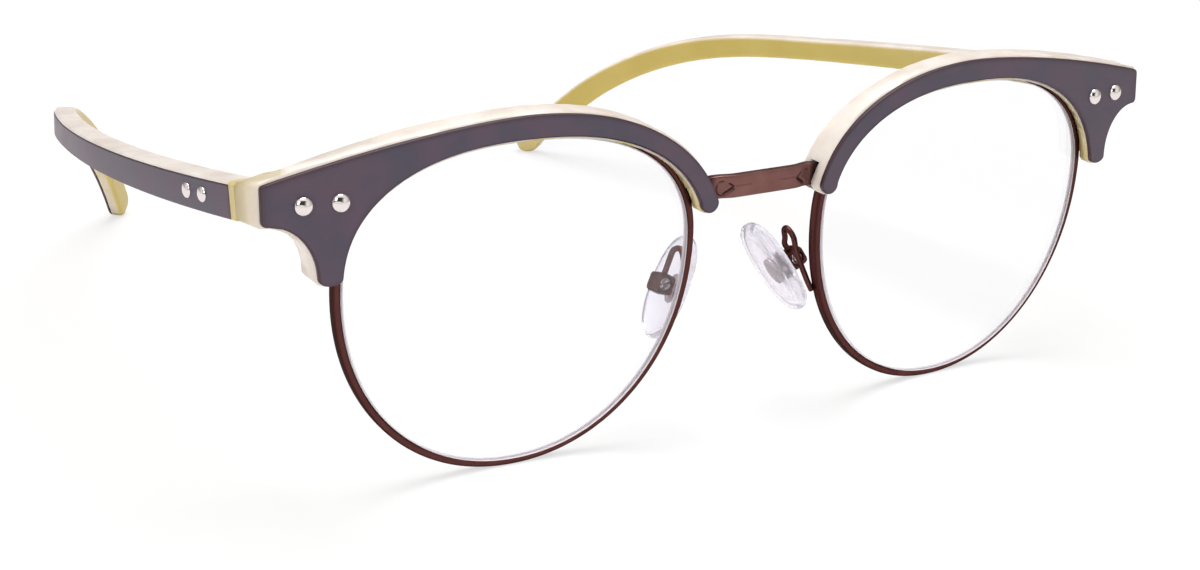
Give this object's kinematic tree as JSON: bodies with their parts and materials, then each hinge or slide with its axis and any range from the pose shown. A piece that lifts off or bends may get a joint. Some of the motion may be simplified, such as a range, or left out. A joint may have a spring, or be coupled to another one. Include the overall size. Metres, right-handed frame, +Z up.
{
  "type": "reading glasses",
  "caption": "Browline reading glasses with laminated brow pieces, round metal eyewires, clear lenses, folding temples and adjustable nose pads.",
  "frame": {"origin": "centre of the footprint's box, at the level on which the rim bottoms and temple tips stand", "axes": "+X to the wearer's left, -Y out of the front, +Z up; the temples run back along +Y"},
  "size_m": [0.1452, 0.1322, 0.0476],
  "materials": {
    "dark_acetate": "slate plum cellulose acetate, satin",
    "cream_acetate": "cream, slightly translucent cellulose acetate, polished",
    "brown_gunmetal": "dark brown gunmetal plating, satin",
    "polished_steel": "polished steel",
    "clear_lens": "clear lens plastic, polished",
    "clear_silicone": "clear silicone, soft gloss"
  },
  "bodies": {
    "front": {"bridge": "brown_gunmetal", "brow_back_left": "cream_acetate", "brow_back_right": "cream_acetate", "brow_face_left": "dark_acetate", "brow_face_right": "dark_acetate", "brow_rivet_inner_left": "polished_steel", "brow_rivet_inner_right": "polished_steel", "brow_rivet_outer_left": "polished_steel", "brow_rivet_outer_right": "polished_steel", "brow_screw_left": "polished_steel", "brow_screw_right": "polished_steel", "eyewire_left": "brown_gunmetal", "eyewire_right": "brown_gunmetal", "lens_left": "clear_lens", "lens_right": "clear_lens", "front_hinge_leaf_left": "polished_steel", "front_hinge_leaf_right": "polished_steel", "hinge_screw_left": "polished_steel", "hinge_screw_right": "polished_steel", "rim_lock_lower_left": "brown_gunmetal", "rim_lock_lower_right": "brown_gunmetal", "rim_lock_screw_left": "polished_steel", "rim_lock_screw_right": "polished_steel", "rim_lock_upper_left": "brown_gunmetal", "rim_lock_upper_right": "brown_gunmetal", "pad_arm_left": "brown_gunmetal", "pad_arm_right": "brown_gunmetal", "pad_box_left": "brown_gunmetal", "pad_box_right": "brown_gunmetal", "pad_screw_left": "polished_steel", "pad_screw_right": "polished_steel"},
    "temple_left": {"temple_back_left": "cream_acetate", "temple_face_left": "dark_acetate", "temple_hinge_leaf_left": "polished_steel", "temple_rivet_front_left": "polished_steel", "temple_rivet_rear_left": "polished_steel"},
    "temple_right": {"temple_back_right": "cream_acetate", "temple_face_right": "dark_acetate", "temple_hinge_leaf_right": "polished_steel", "temple_rivet_front_right": "polished_steel", "temple_rivet_rear_right": "polished_steel"},
    "pad_left": {"nose_pad_left": "clear_silicone", "pad_insert_left": "polished_steel"},
    "pad_right": {"nose_pad_right": "clear_silicone", "pad_insert_right": "polished_steel"}
  },
  "joints": [
    {"name": "temple_fold_left", "type": "hinge", "parent": "front", "child": "temple_left", "pos_m": [0.0656, -0.05564, 0.03882], "axis": [0, -0.0454, 0.999], "range_deg": [0, 78]},
    {"name": "temple_fold_right", "type": "hinge", "parent": "front", "child": "temple_right", "pos_m": [-0.0656, -0.05564, 0.03882], "axis": [0, 0.0454, -0.999], "range_deg": [0, 71]},
    {"name": "pad_rock_left", "type": "hinge", "parent": "front", "child": "pad_left", "pos_m": [0.0113, -0.05689, 0.02015], "axis": [-0.0621, -0.9781, 0.1986], "range_deg": [-8, 8]},
    {"name": "pad_rock_right", "type": "hinge", "parent": "front", "child": "pad_right", "pos_m": [-0.0113, -0.05689, 0.02015], "axis": [0.0621, -0.9781, 0.1986], "range_deg": [-8, 8]}
  ]
}
